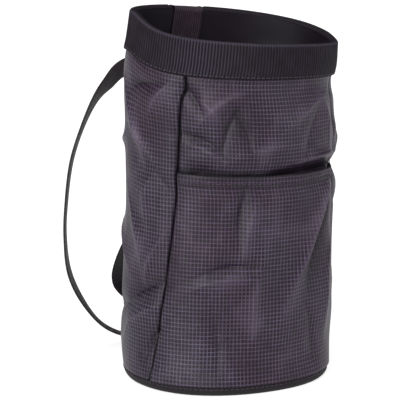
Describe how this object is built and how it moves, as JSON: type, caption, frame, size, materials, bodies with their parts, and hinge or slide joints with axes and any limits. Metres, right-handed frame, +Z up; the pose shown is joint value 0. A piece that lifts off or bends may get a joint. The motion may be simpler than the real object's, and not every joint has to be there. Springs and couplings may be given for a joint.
{
  "type": "climbing chalk bag",
  "caption": "Tall soft chalk bag of ripstop cloth with a webbing rim, a wide front pocket, a dark lining, a back strap, a side loop and a waist belt.",
  "frame": {"origin": "middle of the bag's round underside, on the surface that it stands on", "axes": "+Z up through the mouth, -Y towards the pocket front, +X to the right seen from the front"},
  "size_m": [0.1837, 0.1515, 0.2474],
  "materials": {
    "ripstop_front": "coated nylon ripstop, plum charcoal with a fine lighter grid, soft satin sheen",
    "ripstop_side": "coated nylon ripstop, plum charcoal with a fine lighter grid, soft satin sheen",
    "base_cloth": "dense near-black woven nylon, matt",
    "rim_webbing": "dark plum webbing with fine crosswise ribs",
    "lining_cloth": "smooth dark woven lining",
    "strap_webbing": "dark grey-plum webbing with lengthwise ribs",
    "belt_webbing": "dark brown-grey fine woven belt webbing",
    "buckle_plastic": "moulded black acetal, fine grain"
  },
  "bodies": {
    "root": {"front_panel": "ripstop_front", "back_panel": "ripstop_side", "pocket_panel": "ripstop_front", "base_panel": "base_cloth", "rim_band": "rim_webbing", "lining": "lining_cloth", "back_strap": "strap_webbing", "side_loop": "strap_webbing", "belt": "belt_webbing", "buckle": "buckle_plastic"}
  },
  "joints": []
}
